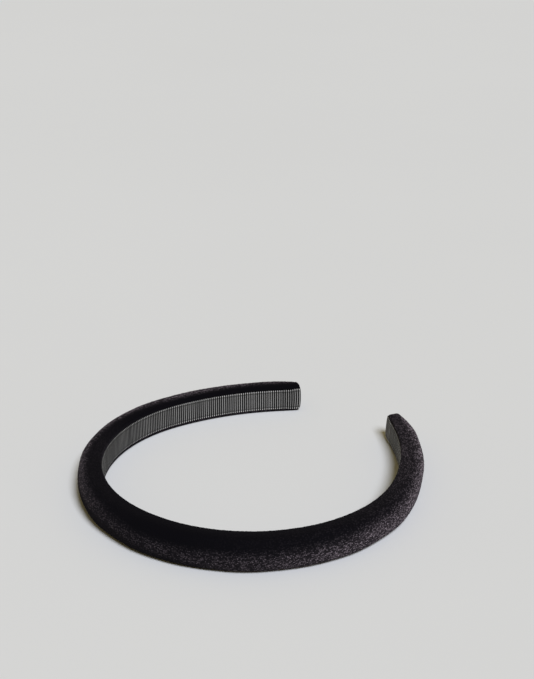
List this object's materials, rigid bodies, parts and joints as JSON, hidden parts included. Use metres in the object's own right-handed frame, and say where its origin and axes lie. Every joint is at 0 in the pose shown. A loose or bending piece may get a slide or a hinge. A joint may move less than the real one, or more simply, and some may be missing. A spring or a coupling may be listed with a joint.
{
  "type": "padded headband",
  "caption": "C-shaped hair band with a springy plastic core, foam padding, a velvet cover and a ribbed ribbon lining; its arms open to clamp the head.",
  "frame": {"origin": "on the surface the band lies on, under the middle of its whole outline", "axes": "+Z across the band's width, -Y towards the crown, +Y towards the open ends of the two arms, +X towards the right arm"},
  "size_m": [0.154, 0.1549, 0.015],
  "materials": {
    "velvet": "black short-pile velvet with a soft grey sheen",
    "grosgrain": "dark grey grosgrain ribbon with crosswise ribs",
    "foam": "open-cell polyurethane foam",
    "core_plastic": "smooth flexible moulded plastic",
    "glue": "dried contact glue and double-sided tape"
  },
  "bodies": {
    "left_half": {"velvet_cover_left": "velvet", "foam_pad_left": "foam", "core_band_left": "core_plastic", "foam_tape_left": "glue", "hem_glue_left": "glue", "lining_glue_left": "glue", "grosgrain_lining_left": "grosgrain"},
    "right_half": {"velvet_cover_right": "velvet", "foam_pad_right": "foam", "core_band_right": "core_plastic", "foam_tape_right": "glue", "hem_glue_right": "glue", "lining_glue_right": "glue", "grosgrain_lining_right": "grosgrain"}
  },
  "joints": [
    {"name": "crown_flex", "type": "hinge", "parent": "left_half", "child": "right_half", "pos_m": [0, -0.06896, 0.0075], "axis": [0, 0, -1], "range_deg": [-12, 30], "stiffness_Nm_per_rad": 1, "deforming": ["velvet_cover_left", "velvet_cover_right", "foam_pad_left", "foam_pad_right", "foam_tape_left", "foam_tape_right", "hem_glue_left", "hem_glue_right", "lining_glue_left", "lining_glue_right", "grosgrain_lining_left", "grosgrain_lining_right"]}
  ]
}
